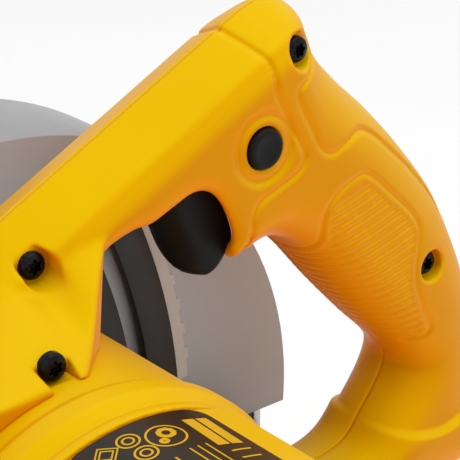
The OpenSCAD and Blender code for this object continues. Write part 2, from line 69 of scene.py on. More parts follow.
# The side screws' X, the Y of the seat, and Z; then the foot screw's X and Z, and its seat.
SIDE_SCREWS = [(17.6, 9.6, 118.8), (-62.8, 11.0, 156.2), (-112.4, 12.0, 83.6)]
FOOT_SCREW, FOOT_SEAT = (29.8, 106.6), 35.3

# Sizes of the shaped pieces, in millimetres.
POCKET_R, POCKET_FLOOR = 4.6, 1.6  # a shell's screw pocket, the depth of a cap's one
SLOT_HALF = 8.9  # half the width of the trigger's well
BARREL_GAP, GEAR_R = 0.05, 37.1  # what the shells clear round the barrel and the gears
BARREL_WALL, CAP_WALL = 2.5, 3.0
CUT_Z, CUT_WALL_Z = 5.0, 7.5  # the flat under the motor, outside and inside
FACETS = ((6.9, 14.0), (5.9, 3.0))  # run and rise of the bar's two facets
GRID = 0.6  # step of the distance grids


# ---- materials -----------------------------------------------------------------------

def new_material(name):
    """A node material, its tree and its Principled shader."""
    mat = bpy.data.materials.new(name)
    mat.use_nodes = True
    tree = mat.node_tree
    return mat, tree, tree.nodes["Principled BSDF"]


def noise(tree, scale, detail=3.0, rough=0.5):
    """A noise texture on object coordinates; its Fac output."""
    coord = tree.nodes.new("ShaderNodeTexCoord")
    tex = tree.nodes.new("ShaderNodeTexNoise")
    tex.inputs["Scale"].default_value = scale
    tex.inputs["Detail"].default_value = detail
    tex.inputs["Roughness"].default_value = rough
    tree.links.new(coord.outputs["Object"], tex.inputs["Vector"])
    return tex.outputs["Fac"]


def ramp(tree, fac, stops):
    """A colour ramp over fac with (position, colour) stops."""
    node = tree.nodes.new("ShaderNodeValToRGB")
    while len(node.color_ramp.elements) < len(stops):
        node.color_ramp.elements.new(0.5)
    for element, (pos, colour) in zip(node.color_ramp.elements, stops):
        element.position = pos
        element.color = (*colour, 1.0)
    tree.links.new(fac, node.inputs["Fac"])
    return node.outputs["Color"]


def spread(tree, fac, low, high, a=0.3, b=0.7):
    """Maps fac from a..b to low..high."""
    node = tree.nodes.new("ShaderNodeMapRange")
    for key, value in (("From Min", a), ("From Max", b), ("To Min", low), ("To Max", high)):
        node.inputs[key].default_value = value
    tree.links.new(fac, node.inputs["Value"])
    return node.outputs["Result"]


def bump(tree, bsdf, height, strength, distance):
    """Roughens a shader's surface by a height."""
    node = tree.nodes.new("ShaderNodeBump")
    node.inputs["Strength"].default_value = strength
    node.inputs["Distance"].default_value = distance
    tree.links.new(height, node.inputs["Height"])
    tree.links.new(node.outputs["Normal"], bsdf.inputs["Normal"])


def facing(tree, low, high):
    """How far a surface faces the light from above, from 0 below low to 1 above high."""
    geo = tree.nodes.new("ShaderNodeNewGeometry")
    dot = tree.nodes.new("ShaderNodeVectorMath")
    dot.operation = "DOT_PRODUCT"
    dot.inputs[1].default_value = (0.10, 0.35, 0.93)
    tree.links.new(geo.outputs["Normal"], dot.inputs[0])
    return spread(tree, dot.outputs["Value"], 0.0, 1.0, low, high)


def plastic(name, dark, light, rough, grain=2600.0, depth=0.00004, specular=0.5):
    """Moulded plastic: a fine spark-eroded grain, slight mottling, uneven gloss."""
    mat, tree, bsdf = new_material(name)
    tint = ramp(tree, noise(tree, 26.0, 4.0), [(0.3, dark), (0.7, light)])
    tree.links.new(tint, bsdf.inputs["Base Color"])
    gloss = spread(tree, noise(tree, 60.0, 5.0, 0.6), rough - 0.035, rough + 0.045)
    tree.links.new(gloss, bsdf.inputs["Roughness"])
    bump(tree, bsdf, noise(tree, grain, 2.0), 0.35, depth)
    bsdf.inputs["Specular IOR Level"].default_value = specular
    return mat


def yellow(name, rough):
    """Yellow moulding with painted shade and painted bounce light: the base colour is deeper and
    more orange where the surface turns away from the light above.
    """
    mat, tree, bsdf = new_material(name)
    # Painted shade and bounce light: a base colour ramp over how the surface faces the light above,
    # orange where it turns away and yellow where it faces up.
    tint = ramp(tree, facing(tree, -0.6, 1.0),
                [(0.0, (0.96, 0.28, 0.0)), (0.45, (0.84, 0.30, 0.0)), (0.60, (0.70, 0.27, 0.0)),
                 (0.85, (0.77, 0.42, 0.0)), (1.0, (0.79, 0.49, 0.0))])
    mix = tree.nodes.new("ShaderNodeMix")
    mix.data_type, mix.blend_type = "RGBA", "MULTIPLY"
    mix.inputs["Factor"].default_value = 1.0
    blotch = ramp(tree, noise(tree, 26.0, 4.0), [(0.3, (0.97, 0.96, 1.0)), (0.7, (1.0, 1.0, 1.0))])
    tree.links.new(tint, mix.inputs["A"])
    tree.links.new(blotch, mix.inputs["B"])
    tree.links.new(mix.outputs["Result"], bsdf.inputs["Base Color"])
    gloss = spread(tree, noise(tree, 60.0, 5.0, 0.6), rough - 0.03, rough + 0.05)
    tree.links.new(gloss, bsdf.inputs["Roughness"])
    bump(tree, bsdf, noise(tree, 2600.0, 2.0), 0.3, 0.00004)
    bsdf.inputs["Specular IOR Level"].default_value = 0.16
    bsdf.inputs["Specular Tint"].default_value = (1.0, 0.72, 0.08, 1.0)
    return mat


def metal(name, dark, light, rough, stretch=(1.0, 1.0, 1.0), scale=300.0, depth=0.00003):
    """Bare metal: a directional or blotchy grain by stretch."""
    mat, tree, bsdf = new_material(name)
    coord = tree.nodes.new("ShaderNodeTexCoord")
    mapping = tree.nodes.new("ShaderNodeMapping")
    mapping.inputs["Scale"].default_value = stretch
    tex = tree.nodes.new("ShaderNodeTexNoise")
    tex.inputs["Scale"].default_value = scale
    tex.inputs["Detail"].default_value = 5.0
    tree.links.new(coord.outputs["Object"], mapping.inputs["Vector"])
    tree.links.new(mapping.outputs["Vector"], tex.inputs["Vector"])
    fac = tex.outputs["Fac"]
    tree.links.new(ramp(tree, fac, [(0.3, dark), (0.7, light)]), bsdf.inputs["Base Color"])
    tree.links.new(spread(tree, fac, rough - 0.06, rough + 0.08), bsdf.inputs["Roughness"])
    bump(tree, bsdf, fac, 0.25, depth)
    bsdf.inputs["Metallic"].default_value = 1.0
    return mat


def paint(name, side, top, rough, metallic):
    """Painted or powder-coated sheet with a soft orange-peel; its base colour carries painted light
    and shade, the side tone on surfaces that face sideways and the top tone on those that face up.
    """
    mat, tree, bsdf = new_material(name)
    # Painted light and shade: the base colour runs from the side tone to the top tone by how the
    # surface faces the light above.
    tint = ramp(tree, facing(tree, 0.30, 0.90), [(0.0, side), (1.0, top)])
    tree.links.new(tint, bsdf.inputs["Base Color"])
    gloss = spread(tree, noise(tree, 120.0, 4.0), rough - 0.04, rough + 0.05)
    tree.links.new(gloss, bsdf.inputs["Roughness"])
    bump(tree, bsdf, noise(tree, 900.0, 2.0), 0.2, 0.00005)
    bsdf.inputs["Metallic"].default_value = metallic
    return mat


YELLOW = yellow("yellow_shell", 0.42)
CAP_YELLOW = yellow("yellow_cap", 0.38)
BLACK = plastic("black_plastic", (0.008, 0.008, 0.009), (0.014, 0.014, 0.016), 0.50, 1800.0,
                specular=0.3)
TRIGGER = plastic("trigger_plastic", (0.004, 0.004, 0.004), (0.008, 0.007, 0.007), 0.46, 2200.0,
                  specular=0.15)
RUBBER = plastic("rubber", (0.012, 0.012, 0.012), (0.020, 0.020, 0.020), 0.62, 1500.0)
SCREW = metal("black_oxide", (0.010, 0.010, 0.012), (0.022, 0.022, 0.026), 0.30, scale=900.0)
# Painted light: the guard's side walls are painted lighter than its tops as painted bounce light,
# and the strap's tops are painted a little lighter than its sides.
SILVER = paint("silver_paint", (0.44, 0.47, 0.49), (0.32, 0.32, 0.325), 0.48, 0.10)
STRAP = paint("strap_paint", (0.004, 0.002, 0.001), (0.008, 0.004, 0.002), 0.45, 0.0)
SCALE = plastic("scale_plastic", (0.52, 0.50, 0.47), (0.60, 0.58, 0.55), 0.50)
CAST = metal("cast_alloy", (0.42, 0.42, 0.43), (0.52, 0.52, 0.53), 0.42, scale=500.0, depth=0.00012)
SHEET = metal("base_sheet", (0.44, 0.44, 0.45), (0.54, 0.54, 0.55), 0.36, (1.0, 14.0, 1.0), 120.0)
STEEL = metal("turned_steel", (0.46, 0.46, 0.47), (0.58, 0.58, 0.59), 0.26, (1.0, 9.0, 1.0), 260.0)
BLADE = metal("blade_steel", (0.50, 0.50, 0.51), (0.62, 0.62, 0.63), 0.24, (5.0, 1.0, 1.0), 200.0)
COPPER = metal("enamelled_wire", (0.40, 0.13, 0.05), (0.60, 0.24, 0.10), 0.34,
               (1.0, 30.0, 1.0), 90.0)
BRASS = metal("brass", (0.55, 0.38, 0.13), (0.68, 0.48, 0.18), 0.30)
CARBON = plastic("carbon", (0.010, 0.010, 0.010), (0.022, 0.022, 0.022), 0.55)
LABEL = plastic("label_film", (0.012, 0.005, 0.002), (0.017, 0.007, 0.003), 0.34, 3000.0, 0.00001,
                specular=0.3)
PRINT = plastic("label_print", (0.62, 0.34, 0.004), (0.70, 0.40, 0.006), 0.40, 3000.0, 0.00001,
                specular=0.2)

SLOT_MATERIAL = {
    "yellow_plastic": YELLOW, "guard_paint": SILVER, "cast_aluminium": CAST, "black_steel": STRAP,
    "scale_strip": SCALE, "base_steel": SHEET, "black_plastic": BLACK, "black_rubber": RUBBER,
    "black_screw": SCREW, "label": LABEL, "blade_steel": BLADE, "copper": COPPER, "brass": BRASS,
    "carbon": CARBON, "bright_steel": STEEL}
SLOT_OF = {s["node"]: s["material_slot"] for s in frame["record"]["subparts"]}
BODY_OF = {n: b for b, names in frame["record"]["behaviour"]["bodies"].items() for n in names}


def dress(obj, mat):
    """Gives an object one material."""
    obj.data.materials.clear()
    obj.data.materials.append(mat)


for name, obj in nodes.items():
    dress(obj, SLOT_MATERIAL[SLOT_OF[name]])


# ---- mesh helpers --------------------------------------------------------------------

def link(name, mesh, mat, body, replaced=()):
    """Puts a mesh in the scene on its body, standing for the replaced CAD nodes."""
    obj = bpy.data.objects.new(name, mesh)
    bpy.context.scene.collection.objects.link(obj)
    dress(obj, mat)
    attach(obj, body)
    if replaced:
        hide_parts(*replaced)


def smoothed(bm, name, angle=35.0):
    """Turns a bmesh into a mesh whose edges under the angle are shaded smooth."""
    bmesh.ops.recalc_face_normals(bm, faces=bm.faces)
    limit = math.radians(angle)
    for face in bm.faces:
        face.smooth = True
    for edge in bm.edges:
        edge.smooth = len(edge.link_faces) == 2 and edge.calc_face_angle(0.0) < limit
    mesh = bpy.data.meshes.new(name)
    bm.to_mesh(mesh)
    bm.free()
    return mesh


def eased(node, width):
    """The node's mesh with edges over 32 degrees rounded, or None where that goes wrong."""
    bm = bmesh.new()
    bm.from_mesh(nodes[node].data)
    bmesh.ops.remove_doubles(bm, verts=bm.verts, dist=1e-6)
    volume, area = bm.calc_volume(), sum(f.calc_area() for f in bm.faces)
    bmesh.ops.dissolve_limit(bm, angle_limit=math.radians(0.5), verts=bm.verts, edges=bm.edges)
    sharp = [e for e in bm.edges
             if len(e.link_faces) == 2 and e.calc_face_angle(0.0) > math.radians(32.0)]
    bmesh.ops.bevel(bm, geom=sharp, offset=width * MM, segments=2, profile=0.5,
                    affect="EDGES", clamp_overlap=True)
    bmesh.ops.triangulate(bm, faces=[f for f in bm.faces if len(f.verts) > 4])
    # A bevel that went wrong shows as a jump in volume or area.
    new_volume, new_area = bm.calc_volume(), sum(f.calc_area() for f in bm.faces)
    if abs(new_volume / volume - 1) < 0.04 and abs(new_area / area - 1) < 0.06:
        return bm
    bm.free()
    return None


def eased_copy(node, width):
    """A copy of a CAD node with its sharp edges rounded over, standing for the node."""
    bm = eased(node, width) or eased(node, width * 0.4)
    if bm is None:
        bm = bmesh.new()
        bm.from_mesh(nodes[node].data)
        bmesh.ops.remove_doubles(bm, verts=bm.verts, dist=1e-6)
        print("plain copy of", node)
    mesh = smoothed(bm, node + "_eased")
    slot = SLOT_OF[node]
    link(node + "_eased", mesh, SLOT_MATERIAL[slot], BODY_OF[node], [node])


# ---- distance fields -----------------------------------------------------------------

def smax(a, b, k):
    """A maximum whose corner is rounded over a width k."""
    h = np.maximum(k - np.abs(a - b), 0.0) / k
    return np.maximum(a, b) + h * h * k * 0.25


def smin(a, b, k):
    """A minimum whose corner is filled over a width k."""
    return -smax(-a, -b, k)


def step01(t, a, b):
    """0 below a, 1 above b, a smooth step between."""
    s = np.clip((t - a) / (b - a), 0.0, 1.0)
    return s * s * (3.0 - 2.0 * s)


def bend(points, per=6):
    """A smooth curve through the points (centripetal Catmull-Rom)."""
    p = np.array(points, float)
    p = np.vstack([2 * p[0] - p[1], p, 2 * p[-1] - p[-2]])
    out = []
    for i in range(1, len(p) - 2):
        p0, p1, p2, p3 = p[i - 1:i + 3]
        t = np.cumsum([0.0] + [max(np.linalg.norm(b - a), 1e-6) ** 0.5
                               for a, b in ((p0, p1), (p1, p2), (p2, p3))])
        for s in np.linspace(t[1], t[2], per, endpoint=False):
            a1 = p0 * (t[1] - s) / (t[1] - t[0]) + p1 * (s - t[0]) / (t[1] - t[0])
            a2 = p1 * (t[2] - s) / (t[2] - t[1]) + p2 * (s - t[1]) / (t[2] - t[1])
            a3 = p2 * (t[3] - s) / (t[3] - t[2]) + p3 * (s - t[2]) / (t[3] - t[2])
            b1 = a1 * (t[2] - s) / (t[2] - t[0]) + a2 * (s - t[0]) / (t[2] - t[0])
            b2 = a2 * (t[3] - s) / (t[3] - t[1]) + a3 * (s - t[1]) / (t[3] - t[1])
            out.append(b1 * (t[2] - s) / (t[2] - t[1]) + b2 * (s - t[1]) / (t[2] - t[1]))
    out.append(p[-2])
    return np.array(out)


def path_distance(x, z, path, closed=False):
    """Distance in the XZ plane to a polyline."""
    best = np.full(x.shape, 1e9)
    n = len(path)
    for i in range(n if closed else n - 1):
        a, b = path[i], path[(i + 1) % n]
        d = b - a
        t = np.clip(((x - a[0]) * d[0] + (z - a[1]) * d[1]) / max(d @ d, 1e-9), 0.0, 1.0)
        best = np.minimum(best, (x - a[0] - t * d[0]) ** 2 + (z - a[1] - t * d[1]) ** 2)
    return np.sqrt(best)


def outline_depth(x, z, path):
    """Signed depth inside a closed outline: positive inside."""
    inside = np.zeros(x.shape, bool)
    n = len(path)
    for i in range(n):
        a, b = path[i], path[(i + 1) % n]
        if a[1] != b[1]:
            crosses = (a[1] > z) != (b[1] > z)
            inside ^= crosses & (x < (b[0] - a[0]) * (z - a[1]) / (b[1] - a[1]) + a[0])
    d = path_distance(x, z, path, closed=True)
    return np.where(inside, d, -d)


def sample(values, lo, step, points):
    """Trilinear samples of a grid at points."""
    q = np.clip((points - lo) / step, 0.0, np.array(values.shape) - 1.001)
    i = q.astype(int)
    f = q - i
    out = np.zeros(len(points))
    for dx in (0, 1):
        for dy in (0, 1):
            for dz in (0, 1):
                w = (np.where(dx, f[:, 0], 1 - f[:, 0]) * np.where(dy, f[:, 1], 1 - f[:, 1])
                     * np.where(dz, f[:, 2], 1 - f[:, 2]))
                out += w * values[i[:, 0] + dx, i[:, 1] + dy, i[:, 2] + dz]
    return out


def field_mesh(name, values, lo, step):
    """The zero surface of a distance grid, negative inside, as a smooth quad mesh."""
    grid = openvdb.FloatGrid(float(6 * step))
    grid.copyFromArray(np.ascontiguousarray(values, np.float32))
    points, quads = grid.convertToQuads(isovalue=0.0)
    points = points.astype(float) * step + lo
    slopes = [np.gradient(values, step, axis=a).astype(np.float32) for a in range(3)]
    for _ in range(2):
        g = np.stack([sample(s, lo, step, points) for s in slopes], 1)
        g2 = np.maximum((g * g).sum(1, keepdims=True), 0.05)
        points = points - np.clip(sample(values, lo, step, points)[:, None] / g2, -0.5, 0.5) * g
    mesh = bpy.data.meshes.new(name)
    mesh.from_pydata((points * MM).tolist(), [], quads.tolist())
    bm = bmesh.new()
    bm.from_mesh(mesh)
    bmesh.ops.recalc_face_normals(bm, faces=bm.faces)
    for face in bm.faces:
        face.smooth = True
    bm.to_mesh(mesh)
    bm.free()
    return mesh


def axes(lo, hi, step):
    """The grid's coordinates along X, Y and Z."""
    return [np.arange(lo[a], hi[a] + step, step) for a in range(3)]


# ---- handle shells -------------------------------------------------------------------

TOP_LINE = [(62.0, 105.5), (17.0, 129.0), (-20.0, 148.4), (-46.0, 162.0), (-55.0, 166.4)]
OUTER = bend([(-5, 8), (-60, 8), (-104, 8), (-117, 5), (-130, 5), (-139, 9), (-142.5, 20),
              (-142.5, 36), (-140, 56), (-136.5, 74), (-129.5, 90), (-121.2, 104.6),
              (-108.6, 120), (-96.6, 132.4), (-84.8, 143), (-76, 152.5), (-73, 159),
              (-70, 165), (-63, 168.3)] + TOP_LINE[::-1]
             + [(74, 104), (85, 111), (93, 124), (103, 135), (116, 138.5), (127, 133),
                (131, 120), (126, 104), (114, 92), (98, 84), (84, 76), (72, 66)], 8)
OUTER = np.vstack([OUTER, [(40.0, 70.0), (-5.0, 75.0)]])
LOOP_REAR = [(-5, 25), (-40, 25), (-78, 24.5), (-88, 24.8), (-95, 27.5), (-101, 34.5),
             (-108.3, 44.5), (-110, 50), (-106.5, 56), (-96, 66.5), (-82, 81.5), (-69, 96.5)]
LOOP_FRONT = [(-20.5, 123.9), (-14.5, 121.6), (-8.5, 121.2), (0.4, 117.6), (3.8, 111),
              (7.5, 103), (10.5, 92)]
LOOP = bend(LOOP_REAR + [(-61, 103.5), (-55, 105.6), (-51, 105), (-47, 103.6), (-43.4, 103.2),
                         (-41.6, 104.6), (-42.6, 107.4), (-45, 109.5), (-44.6, 115),
                         (-41, 123), (-36.5, 127.8), (-30, 127.2)] + LOOP_FRONT, 8)
LOOP_LIP = bend(LOOP_REAR + [(-61, 104.5), (-56.5, 108), (-52, 109.2), (-48, 108.6),
                             (-44.2, 107.4), (-40.8, 106), (-38.6, 106.4), (-38.2, 108.2),
                             (-38.8, 111.5), (-37.6, 116), (-34.8, 121.5), (-31.5, 125.4),
                             (-27.5, 126.3)] + LOOP_FRONT, 8)
WELL = np.array([(-22, 112), (-19, 124), (-24, 134), (-40, 136), (-54, 126), (-59, 110),
                 (-50, 97), (-40, 97)], float)
PANEL_FRONT = bend([(-38, 167), (-44.5, 163.8), (-48, 160.5), (-51.8, 155), (-53, 147.5),
                    (-56.5, 141), (-60.5, 133.5), (-62.8, 129), (-61, 125.4), (-53, 122),
                    (-47.5, 119.6), (-45.4, 116), (-45.2, 112), (-46.2, 104)], 8)
PANEL_REAR = bend([(-73, 153.5), (-64, 149.2), (-60.4, 147), (-60.4, 144.5), (-64.5, 136.5),
                   (-68.8, 129), (-72.5, 127.2), (-78.5, 129), (-84, 130.2), (-89.8, 127.6),
                   (-99, 120), (-108, 111.8), (-117, 102), (-122, 95)], 8)
PAD_TOP = [(-83.9, 118.8), (-80, 118), (-73.5, 114.6), (-70.5, 110.5), (-70.5, 105),
           (-71, 101), (-68.5, 98), (-63, 98)]
PAD_EDGE = bend(PAD_TOP[::-1] + [(-87.4, 116.9), (-95, 110), (-103.5, 101.8), (-106.5, 96.5),
                                 (-105.6, 86), (-106.2, 79), (-109.5, 71), (-113, 64.5),
                                 (-112, 61.5), (-107, 60.5)], 8)
LIP = bend([(-80, 47), (-83.5, 41.5), (-92, 36), (-104, 31), (-119, 28.5), (-132, 31),
            (-146, 36)], 8)


def layer(plan):
    """A grid over the XZ plane, ready to be combined with Y."""
    return plan[:, None, :]


def above_lip(x, z):
    """Height above the lip line round the heel, in millimetres."""
    order = np.argsort(LIP[:, 0])
    return z - np.interp(x, LIP[order, 0], LIP[order, 1])


def facet(depth, y, run, rise):
    """Distance over a slope that rises in Y while it runs in from the edge."""
    return (run * y - rise * depth) / math.hypot(run, rise)


def handle_half(side):
    """The outside of one half shell, y positive for the left one, as a distance grid."""
    reach = 43.5 if side > 0 else 26.0
    lo = np.array([-146.4, -2.4, 1.2])
    ax, ay, az = axes(lo, (134.4, reach, 172.2), GRID)
    x, z = np.meshgrid(ax, az, indexing="ij")
    y = ay[None, :, None]
    depth = layer(outline_depth(x, z, OUTER))
    d_in = -outline_depth(x, z, LOOP)
    d_lip = -outline_depth(x, z, LOOP_LIP)
    loop = layer(d_in) + layer(d_lip - d_in) * step01(y, 8.0, 16.0)
    heel = (1 - step01(above_lip(x, z), -1.0, 1.2)) * step01(-x, 70.0, 84.0)
    face = y - layer(HALF + 2.2 * heel)
    # The bar has two facets on each side of its ridge; the grip is rounded.
    (run, rise), upper = FACETS
    facets = smax(facet(depth, y, run, rise), facet(depth - run, y - rise, *upper), 0.6)
    roofed = smax(smax(facets, face, 0.7), -depth, 0.7)
    rounded = smax(-depth, face, 24.0)
    bar = layer(step01(x, -72.0, -52.0) * step01(z, 60.0, 90.0))
    outside = roofed * bar + rounded * (1 - bar)
    grip = layer(step01(-x, 46.0, 72.0))
    inside = smax(-loop, face, 6.0) * (1 - grip) + smax(-loop, face, 17.0) * grip
    f = smax(outside, inside, 1.5)
    f = smin(f, flare(layer(x), y, layer(z), side), 2.5)
    # Room for the trigger to swing back into.
    well = layer(outline_depth(x, z, WELL))
    f = smax(f, -np.maximum(y - SLOT_HALF, -well), 0.6)
    return f, lo, (ax, ay, az), (x, z), d_in


def flare(x, y, z, side):
    """The foot of the front post, spreading out over the motor housing."""
    reach, spread_y, swell = (42.5, 26.5, 5.0) if side > 0 else (25.0, 9.0, 0.0)
    barrel_top = 103.8
    dip = 3.6 * np.exp(-((x - 18.5) / 5.5) ** 2)  # keeps the slope below the side screw
    start = 123.6 - 0.32 * x - dip
    s = np.clip((start - z) / (start - barrel_top), 0.0, 2.0)
    out = spread_y * s ** 0.8 + swell * step01(x, 24.0, 34.0) * s
    slope = (y - 16.0 - out + 3.0 * np.maximum(z - start, 0.0)) / 2.0
    rear = smax((0.92 * (y - 15.5) - x) / 1.36, 2.2 + 0.42 * (120.0 - z) - x, 1.0)
    front = x - 64.0 + 0.25 * (y - 17.0)
    body = smax(smax(slope, rear, 1.6), smax(front, y - reach, 1.0), 2.5)
    return smax(body, np.maximum(z - 124.0, 84.0 - z), 4.0)


def shell_details(f, plan, d_in):
    """Grooves, pad, ribs, bezel and openings on one half."""
    x, z = plan
    relief = np.zeros(x.shape)
    for path, width, deep in ((PANEL_FRONT, 0.75, 0.75), (PANEL_REAR, 0.7, 0.65),
                              (PAD_EDGE, 0.7, 0.55)):
        relief += deep * np.exp(-(path_distance(x, z, path) / width) ** 2)
    pad = outline_depth(x, z, np.vstack([PAD_EDGE, [(-98.0, 50.0), (-60.0, 92.0)]]))
    phase = (0.26 * x + 0.965 * z) * (2 * math.pi / 2.75)
    ribs = 0.5 + 0.5 * np.cos(phase)
    relief += 0.42 * ribs * step01(pad, 1.6, 3.2) * step01(d_in, -1.0, 1.0)
    f = f + layer(relief)
    bezel = layer(np.hypot(x - BUTTON[0], z - BUTTON[1]))
    f = f + 0.95 * np.exp(-((bezel - 8.8) / 1.1) ** 2) + 0.3 * step01(-bezel, -9.0, -7.0)
    return smax(f, BUTTON_HOLE - bezel, 0.7)


def drive_clearance(x, y, z):
    """Distance outside the motor and gear housings."""
    motor = np.hypot(x - MOTOR_X, z - MOTOR_Z) - (MOTOR_R + BARREL_GAP)
    gear = np.hypot(x, z - ARBOR_Z) - GEAR_R
    gear = np.maximum(gear, y - 2.0)
    return np.minimum(motor, gear)


def build_shell(side):
    """One handle shell: side 1 is the left one, and side -1 the right one, mirrored."""
    f, lo, (ax, ay, az), plan, d_in = handle_half(side)
    f = shell_details(f, plan, d_in)
    x, y, z = ax[:, None, None], ay[None, :, None], az[None, None, :]
    if side > 0:
        for screw_x, seat, screw_z in SIDE_SCREWS:
            r = np.hypot(x - screw_x, z - screw_z)
            f = smax(f, -np.maximum(r - POCKET_R, seat - y), 1.0)
        r = np.hypot(x - FOOT_SCREW[0], z - FOOT_SCREW[1])
        f = smax(f, -np.maximum(r - POCKET_R, FOOT_SEAT - y), 0.5)
    f = np.maximum(f, -drive_clearance(x, side * y, z))
    # A fine groove along the parting line, and the parting plane itself.
    f = np.maximum(f + 0.35 * np.exp(-(y / 0.45) ** 2), -y)
    name = "left_shell" if side > 0 else "right_shell"
    mesh = field_mesh(name, f, lo, GRID)
    if side < 0:
        mesh.transform(Matrix.Scale(-1.0, 4, Vector((0.0, 1.0, 0.0))))
        mesh.flip_normals()
    node = "left_handle_shell" if side > 0 else "right_handle_shell"
    link(name, mesh, YELLOW, "housing", [node])


build_shell(1)
build_shell(-1)


# ---- motor housing and end cap -------------------------------------------------------

CAP_R, CORNER_R, CORNER_A = MOTOR_R - 0.6, 50.9, 120.0
CORNER_SPAN = math.degrees(math.acos(CAP_R / CORNER_R))


def cap_radius(angle):
    """Radius of the end cap's outside at an angle in degrees, with its rear corner."""
    off = CORNER_SPAN - abs(angle - CORNER_A)
    return CAP_R / math.cos(math.radians(off)) if off > 0 else CAP_R


def polar(x, z):
    """Distance from the motor axis."""
    return np.hypot(x - MOTOR_X, z - MOTOR_Z)


def toward(x, z, angle):
    """Distance from the motor axis along a direction in degrees."""
    a = math.radians(angle)
    return (x - MOTOR_X) * math.cos(a) + (z - MOTOR_Z) * math.sin(a)


def motor_housing():
    """The motor's barrel, with its ridge and groove, open inside and at the drive end."""
    lo = np.array([-26.4, 0.6, 3.4])
    ax, ay, az = axes(lo, (80.4, 63.6, 106.8), GRID)
    x, y, z = ax[:, None, None], ay[None, :, None], az[None, None, :]
    r = polar(x, z)
    swell = 1.5 * step01(y, 45.8, 49.5) * (1 - step01(y, 54.0, 57.6))
    groove = 0.7 * np.exp(-((y - 58.3) / 0.8) ** 2)
    f = smax(r - (MOTOR_R + swell - groove), y - MOTOR_END, 0.4)
    f = smax(f, 2.1 - y, 0.4)
    f = smax(f, CUT_Z - z, 0.8)
    f = np.maximum(f, -np.maximum(np.maximum(r - (MOTOR_R - BARREL_WALL), 4.1 - y), CUT_WALL_Z - z))
    f = np.maximum(f, -np.maximum(r - 36.0, y - 6.0))
    screw = np.hypot(x - FOOT_SCREW[0], z - FOOT_SCREW[1])
    f = smax(f, -np.maximum(screw - 4.2, np.abs(y - 36.6) - 1.9), 0.4)
    mesh = field_mesh("motor_barrel", f, lo, GRID)
    link("motor_barrel", mesh, YELLOW, "housing", ["motor_housing"])


def end_cap():
    """The motor's end cap: domed front, rear corner, vents, brush holes and screw pockets."""
    lo = np.array([-26.4, 60.6, 3.4])
    ax, ay, az = axes(lo, (80.4, 111.6, 106.8), GRID)
    x, y, z = ax[:, None, None], ay[None, :, None], az[None, None, :]
    r = polar(x, z)
    dome_y = layer(np.interp(r[:, 0, :], [0, 34, 42, 47, 49.4, 52], [110, 110, 108, 104, 98, 90]))
    dome = (y - dome_y) / 1.25
    corner = np.maximum(toward(x, z, CORNER_A - CORNER_SPAN),
                        toward(x, z, CORNER_A + CORNER_SPAN)) - CAP_R
    corner = np.maximum(corner, CAP_R * CAP_R / CORNER_R - toward(x, z, CORNER_A))
    side = np.minimum(r - CAP_R, corner)
    f = smax(side, dome, 2.0)
    f = smax(smax(f, MOTOR_END - y, 0.4), CUT_Z - z, 0.8)
    room = np.maximum(r - (CAP_R - CAP_WALL), y - dome_y + 3.6)
    f = np.maximum(f, -np.maximum(room, CUT_WALL_Z - z))
    angle = np.arctan2(z - MOTOR_Z, x - MOTOR_X)
    wedge = (angle + math.pi / 12) % (math.pi / 6) - math.pi / 12
    vent = np.maximum(np.abs(r * np.sin(wedge)) - 1.6, np.abs(r - 23.0) - 7.0)
    f = smax(f, -np.maximum(vent, 100.0 - y), 0.5)
    brush_hole = np.hypot(y - 84.0, z - MOTOR_Z) - 6.5
    for way in (-1, 1):
        f = smax(f, -np.maximum(brush_hole, 34.0 - way * (x - MOTOR_X)), 0.5)
    for turn in (45, 135, 225, 315):
        t = math.radians(turn)
        d = np.hypot(x - MOTOR_X - 37 * math.cos(t), z - MOTOR_Z - 37 * math.sin(t))
        f = smax(f, -np.maximum(d - 3.8, CAP_END - POCKET_FLOOR - y), 0.4)
    seat = np.maximum(np.maximum(r - 14.0, 11.0 - r), np.abs(y - 101.2) - 5.3)
    f = np.minimum(f, seat)
    mesh = field_mesh("cap", f, lo, GRID)
    link("cap", mesh, CAP_YELLOW, "housing", ["end_cap"])


# ---- rating label --------------------------------------------------------------------

STRIP = 1.5  # degrees between the cuts that let a flat outline bend
DEGREES_PER_MM = math.degrees(1.0 / CAP_R)


def wrapped(bm, outline, lift):
    """A flat outline in (degrees, y) cut into strips and laid round the end cap."""
    verts = [bm.verts.new((a, y, 0.0)) for a, y in outline]
    face = bm.faces.new(verts)
    made = [face] + verts + list(face.edges)
    low, high = min(a for a, _ in outline), max(a for a, _ in outline)
    for a in np.arange(math.floor(low / STRIP) * STRIP + STRIP, high, STRIP).tolist():
        out = bmesh.ops.bisect_plane(bm, geom=made, plane_co=(a, 0, 0), plane_no=(1, 0, 0))
        made = list(out["geom"])
    for v in {v for v in made if isinstance(v, bmesh.types.BMVert)}:
        r = cap_radius(v.co.x) + lift
        t = math.radians(v.co.x)
        v.co = Vector((MOTOR_X + r * math.cos(t), v.co.y, MOTOR_Z + r * math.sin(t))) * MM


def ring_outline(a, y, r_out, r_in, turn=0.0, sides=40):
    """Quads in (degrees, y) of a ring of given radii in millimetres."""
    out = []
    for i in range(sides):
        t0, t1 = (turn + 2 * math.pi * (i + j) / sides for j in (0, 1))
        out.append([(a + DEGREES_PER_MM * r * math.cos(t), y + r * math.sin(t))
                    for r, t in ((r_in, t0), (r_out, t0), (r_out, t1), (r_in, t1))])
    return out


def rounded_rect(a0, a1, y0, y1, r, n=6):
    """A rectangle in (degrees, y) with round corners of a radius in millimetres."""
    ra = DEGREES_PER_MM * r
    out = []
    for a, y, t0 in ((a1 - ra, y1 - r, 0), (a0 + ra, y1 - r, 90),
                     (a0 + ra, y0 + r, 180), (a1 - ra, y0 + r, 270)):
        for i in range(n + 1):
            t = math.radians(t0 + 90 * i / n)
            out.append((a + ra * math.cos(t), y + r * math.sin(t)))
    return out


